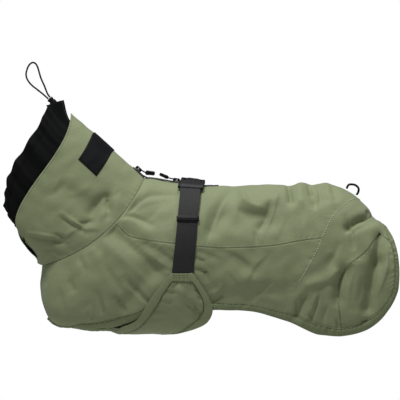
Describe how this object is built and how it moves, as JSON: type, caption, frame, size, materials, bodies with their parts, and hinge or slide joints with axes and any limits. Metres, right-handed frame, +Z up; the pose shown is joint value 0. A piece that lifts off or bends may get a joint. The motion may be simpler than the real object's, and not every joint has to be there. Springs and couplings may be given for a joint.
{
  "type": "dog shell jacket",
  "caption": "Hollow, worn-form rain jacket for a small dog with a high collar, gathered inner collar, back zip, belly flap and a buckled strap over the back.",
  "frame": {"origin": "inner face of the back, in the middle under the strap, where the wearer's back carries the jacket", "axes": "+X towards the tail, +Z up, +Y towards the wearer's right side"},
  "size_m": [0.4951, 0.155, 0.3435],
  "materials": {
    "shell_green": "matt woven shell, finely textured",
    "trim_green": "matt elastic binding",
    "black_cloth": "soft matt stretch cloth",
    "black_webbing": "ribbed webbing, slight sheen",
    "black_plastic": "satin moulded",
    "black_cord": "round braided"
  },
  "bodies": {
    "jacket": {"belly_flap": "shell_green", "buckle_prong": "black_plastic", "buckle_socket": "black_plastic", "collar": "shell_green", "cord_stopper": "black_plastic", "flap_binding_left": "trim_green", "flap_binding_right": "trim_green", "hem_binding": "trim_green", "leg_binding_left": "trim_green", "leg_binding_right": "trim_green", "nape_label": "black_cloth", "neck_cord": "black_cord", "rear_cord": "black_cord", "rear_panel": "shell_green", "side_and_chest": "shell_green", "slider_left": "black_plastic", "slider_right": "black_plastic", "storm_collar": "black_cloth", "strap_left": "black_webbing", "strap_right": "black_webbing", "thigh_panel_left": "shell_green", "thigh_panel_right": "shell_green", "yoke": "shell_green", "zip_slider_front": "black_plastic", "zip_slider_rear": "black_plastic", "zip_tape": "black_cloth"},
    "pull_front": {"zip_grip_front": "black_plastic", "zip_link_front": "black_cord"},
    "pull_rear": {"zip_grip_rear": "black_plastic", "zip_link_rear": "black_cord"}
  },
  "joints": [
    {"name": "pull_front_swing", "type": "hinge", "parent": "jacket", "child": "pull_front", "pos_m": [-0.06457, 0, 0.02162], "axis": [0, 1, 0], "range_deg": [-150, 3]},
    {"name": "pull_rear_swing", "type": "hinge", "parent": "jacket", "child": "pull_rear", "pos_m": [-0.01714, 0, 0.00779], "axis": [0, 1, 0], "range_deg": [-2, 126]}
  ]
}
